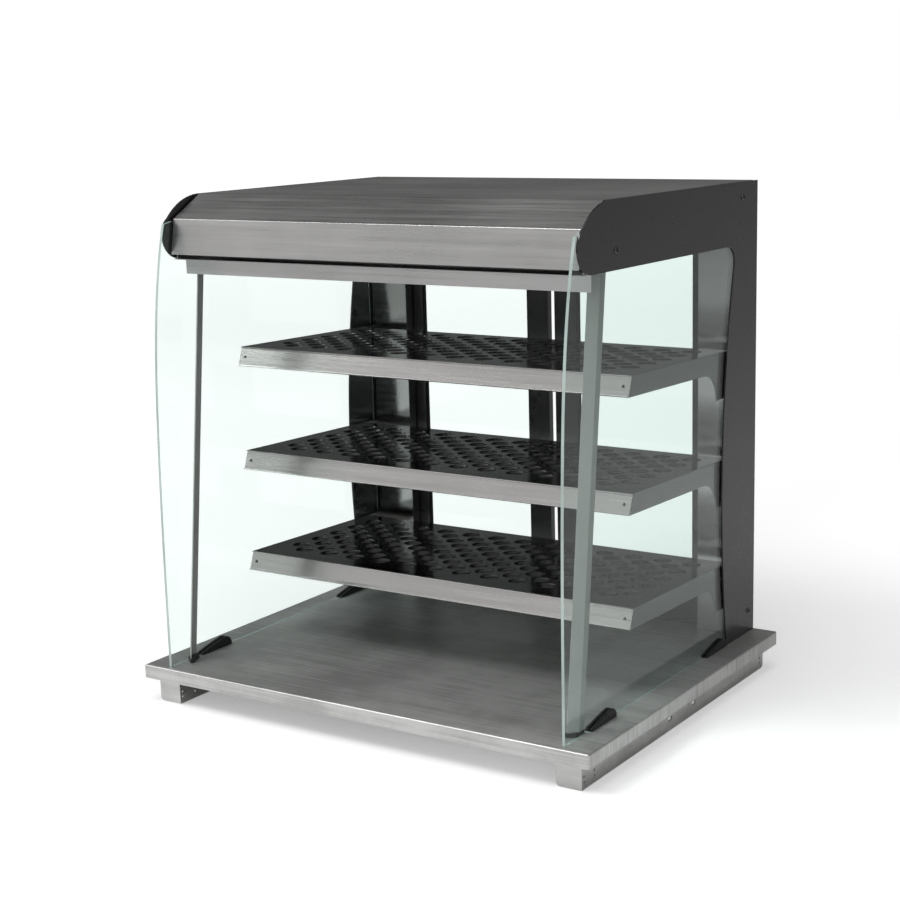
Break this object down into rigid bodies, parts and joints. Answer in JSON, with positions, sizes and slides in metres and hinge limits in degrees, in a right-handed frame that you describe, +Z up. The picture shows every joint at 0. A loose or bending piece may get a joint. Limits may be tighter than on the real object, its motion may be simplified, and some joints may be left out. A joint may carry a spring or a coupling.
{
  "type": "drop-in heated display case",
  "caption": "Drop-in heated display case: steel deck and canopy, glass sides, open front, perforated shelves on rear columns, hinged glass rear doors.",
  "frame": {"origin": "middle of the footprint, level with the bottom edge of the mounting rails", "axes": "+X to the right seen from the customer's side, +Y to the rear (staff side), +Z up"},
  "size_m": [0.9, 0.7, 0.879],
  "materials": {
    "deck_steel": "stainless sheet, grain along X, slightly worn",
    "canopy_steel": "bright stainless sheet, faint cloudy wear",
    "column_steel": "polished stainless sheet",
    "shelf_steel": "polished stainless, mirror-like plate",
    "price_rail_steel": "satin stainless ticket rail",
    "cheek_paint": "near-black glossy powder coat on steel",
    "rail_steel": "plain zinc-plated sheet",
    "post_steel": "satin stainless sheet",
    "side_glass": "clear toughened float glass with a mint tint",
    "door_glass": "clear toughened glass",
    "clip_black": "black moulded plastic",
    "door_frame": "dark anodised frame",
    "pull_steel": "satin stainless strip",
    "screw_steel": "blackened button-head screws",
    "pin_steel": "turned stainless pins",
    "nylon": "natural nylon",
    "tray_steel": "aluminised sheet",
    "heater_mat": "silicone heater mat",
    "insulation": "mineral fibre slab",
    "ceramic": null,
    "quartz": "quartz tube",
    "reflector": "bright aluminium reflector",
    "bulb_copper": "copper sensor bulb",
    "gland": "black nylon gland",
    "magnet": "magnet in a plastic case"
  },
  "bodies": {
    "case": {"left_mount_rail": "rail_steel", "left_cheek": "cheek_paint", "left_side_glass": "side_glass", "left_canopy_end_plate": "tray_steel", "left_post": "post_steel", "left_post_foot": "clip_black", "left_front_glass_clip": "clip_black", "left_rear_glass_clip": "clip_black", "left_column": "column_steel", "right_mount_rail": "rail_steel", "right_cheek": "cheek_paint", "right_side_glass": "side_glass", "right_canopy_end_plate": "tray_steel", "right_post": "post_steel", "right_post_foot": "clip_black", "right_front_glass_clip": "clip_black", "right_rear_glass_clip": "clip_black", "right_column": "column_steel", "deck_pan": "deck_steel", "base_tray": "tray_steel", "base_heater": "heater_mat", "base_insulation": "insulation", "terminal_block": "ceramic", "thermostat_bulb": "bulb_copper", "gland_body": "gland", "gland_nut": "gland", "canopy_shell": "canopy_steel", "canopy_ceiling": "canopy_steel", "lower_fascia": "canopy_steel", "wiring_block": "ceramic", "front_reflector": "reflector", "rear_reflector": "reflector", "front_heat_lamp": "quartz", "rear_heat_lamp": "quartz", "lamp_holders": "ceramic", "door_header": "door_frame", "door_sill": "door_frame", "cheek_spacers": "nylon", "cheek_screws": "screw_steel", "door_pins": "pin_steel", "door_catches": "magnet"},
    "left_door": {"left_door_frame": "door_frame", "left_door_glass": "door_glass", "left_door_pull": "pull_steel"},
    "right_door": {"right_door_frame": "door_frame", "right_door_glass": "door_glass", "right_door_pull": "pull_steel"},
    "lower_shelf": {"lower_shelf_plate": "shelf_steel", "lower_shelf_rail": "price_rail_steel", "lower_shelf_left_arm": "shelf_steel", "lower_shelf_right_arm": "shelf_steel"},
    "middle_shelf": {"middle_shelf_plate": "shelf_steel", "middle_shelf_rail": "price_rail_steel", "middle_shelf_left_arm": "shelf_steel", "middle_shelf_right_arm": "shelf_steel"},
    "upper_shelf": {"upper_shelf_plate": "shelf_steel", "upper_shelf_rail": "price_rail_steel", "upper_shelf_left_arm": "shelf_steel", "upper_shelf_right_arm": "shelf_steel"}
  },
  "joints": [
    {"name": "left_door_hinge", "type": "hinge", "parent": "case", "child": "left_door", "pos_m": [-0.3305, 0.3265, 0.067], "axis": [0, 0, 1], "range_deg": [0, 100]},
    {"name": "right_door_hinge", "type": "hinge", "parent": "case", "child": "right_door", "pos_m": [0.3305, 0.3265, 0.067], "axis": [0, 0, -1], "range_deg": [0, 100]},
    {"name": "lower_shelf_lift", "type": "slide", "parent": "case", "child": "lower_shelf", "axis": [0, 0, 1], "range_m": [0, 0.01]},
    {"name": "middle_shelf_lift", "type": "slide", "parent": "case", "child": "middle_shelf", "axis": [0, 0, 1], "range_m": [0, 0.01]},
    {"name": "upper_shelf_lift", "type": "slide", "parent": "case", "child": "upper_shelf", "axis": [0, 0, 1], "range_m": [0, 0.01]}
  ]
}
